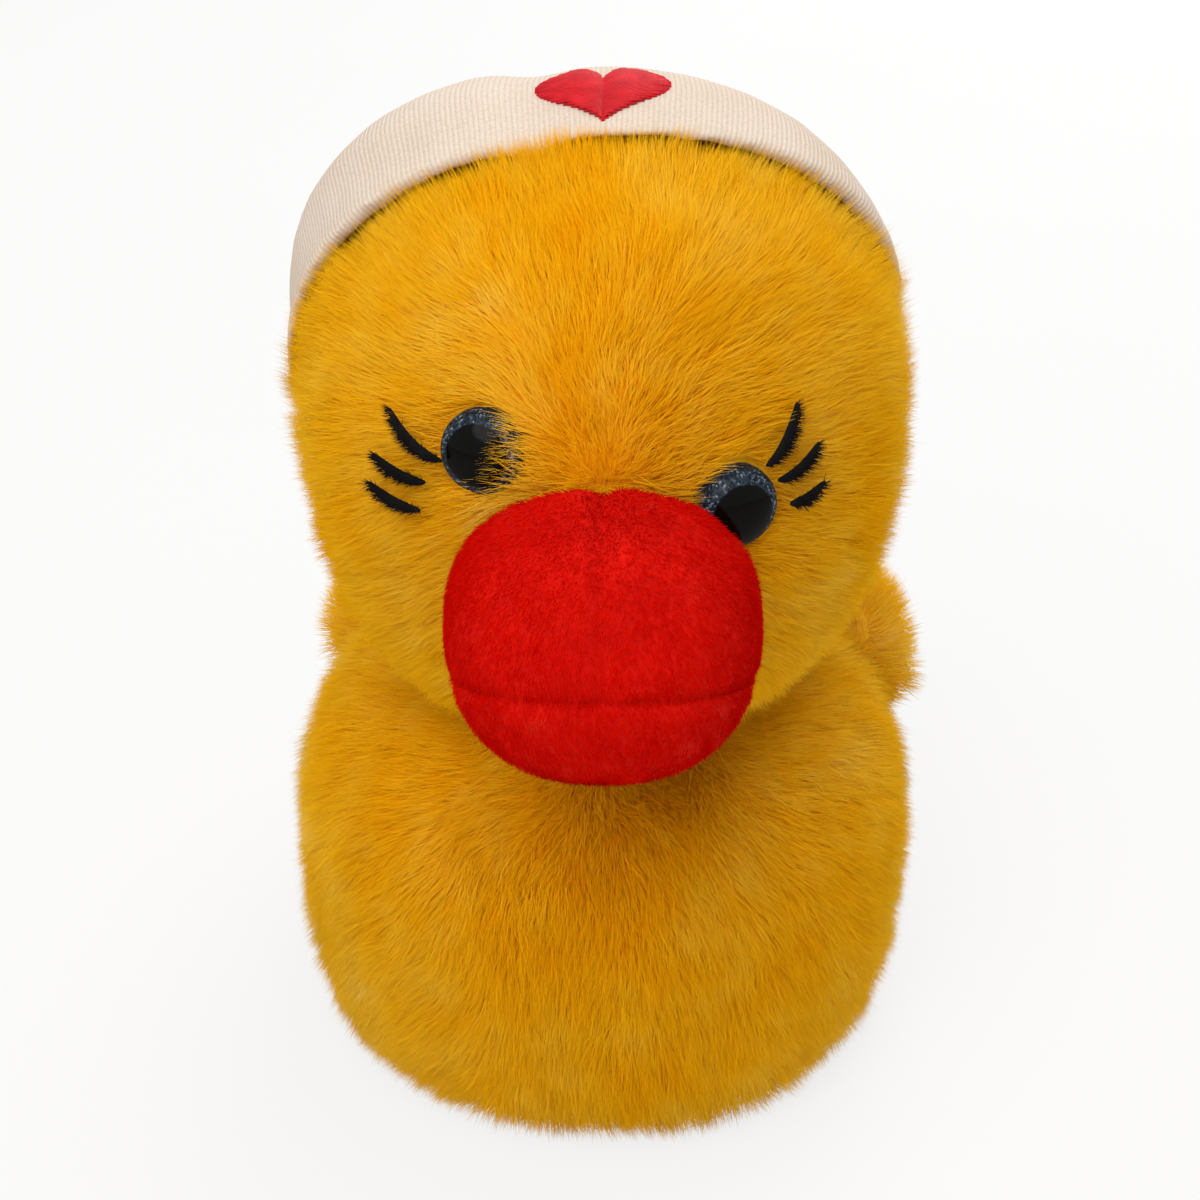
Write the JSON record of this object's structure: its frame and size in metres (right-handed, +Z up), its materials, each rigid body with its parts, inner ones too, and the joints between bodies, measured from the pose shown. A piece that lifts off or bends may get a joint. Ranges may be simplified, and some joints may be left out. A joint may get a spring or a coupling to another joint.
{
  "type": "plush duck",
  "caption": "Sitting plush duck with long yellow pile, a big rounded red bill, domed glitter eyes, stitched lashes, side wings and a cream cloth cap with a red heart.",
  "frame": {"origin": "middle of the flat base that the duck sits on", "axes": "+Z up, -Y the way the duck faces, +X to the duck's left"},
  "size_m": [0.1321, 0.207, 0.2002],
  "materials": {
    "pile": "long shaggy yellow pile",
    "short_pile": "short brushed red pile",
    "filling": "loose white polyester fibre",
    "pellets": "pellets in a plain woven pouch",
    "eye": "polished clear dome over a black pupil",
    "glitter": "dark blue glitter cloth",
    "washer": "moulded white plastic",
    "lash_thread": "black satin stitching",
    "twill": "cream ribbed twill",
    "heart_thread": "red satin stitching"
  },
  "bodies": {
    "duck": {"body_cover": "pile", "base_panel": "pile", "head_cover": "pile", "tail_cover": "pile", "bill_upper_cover": "short_pile", "bill_lower_cover": "short_pile", "body_stuffing": "filling", "head_stuffing": "filling", "bill_stuffing": "filling", "tail_stuffing": "filling", "pellet_bag": "pellets", "left_eye_dome": "eye", "right_eye_dome": "eye", "left_eye_glitter_disc": "glitter", "right_eye_glitter_disc": "glitter", "left_eye_lock_washer": "washer", "right_eye_lock_washer": "washer", "left_lash_upper": "lash_thread", "left_lash_middle": "lash_thread", "left_lash_lower": "lash_thread", "right_lash_upper": "lash_thread", "right_lash_middle": "lash_thread", "right_lash_lower": "lash_thread", "cap_cuff": "twill", "cap_crown": "twill", "cap_heart": "heart_thread"},
    "left_wing": {"left_wing_cover": "pile", "left_wing_stuffing": "filling"},
    "right_wing": {"right_wing_cover": "pile", "right_wing_stuffing": "filling"}
  },
  "joints": [
    {"name": "left_wing_fold", "type": "hinge", "parent": "duck", "child": "left_wing", "pos_m": [0.06271, 0.00161, 0.05853], "axis": [0.314, 0.0303, -0.9489], "range_deg": [0, 70], "stiffness_Nm_per_rad": 0.02},
    {"name": "right_wing_fold", "type": "hinge", "parent": "duck", "child": "right_wing", "pos_m": [-0.05978, 0.01476, 0.06241], "axis": [0.3855, -0.1256, 0.9141], "range_deg": [0, 70], "stiffness_Nm_per_rad": 0.02}
  ]
}
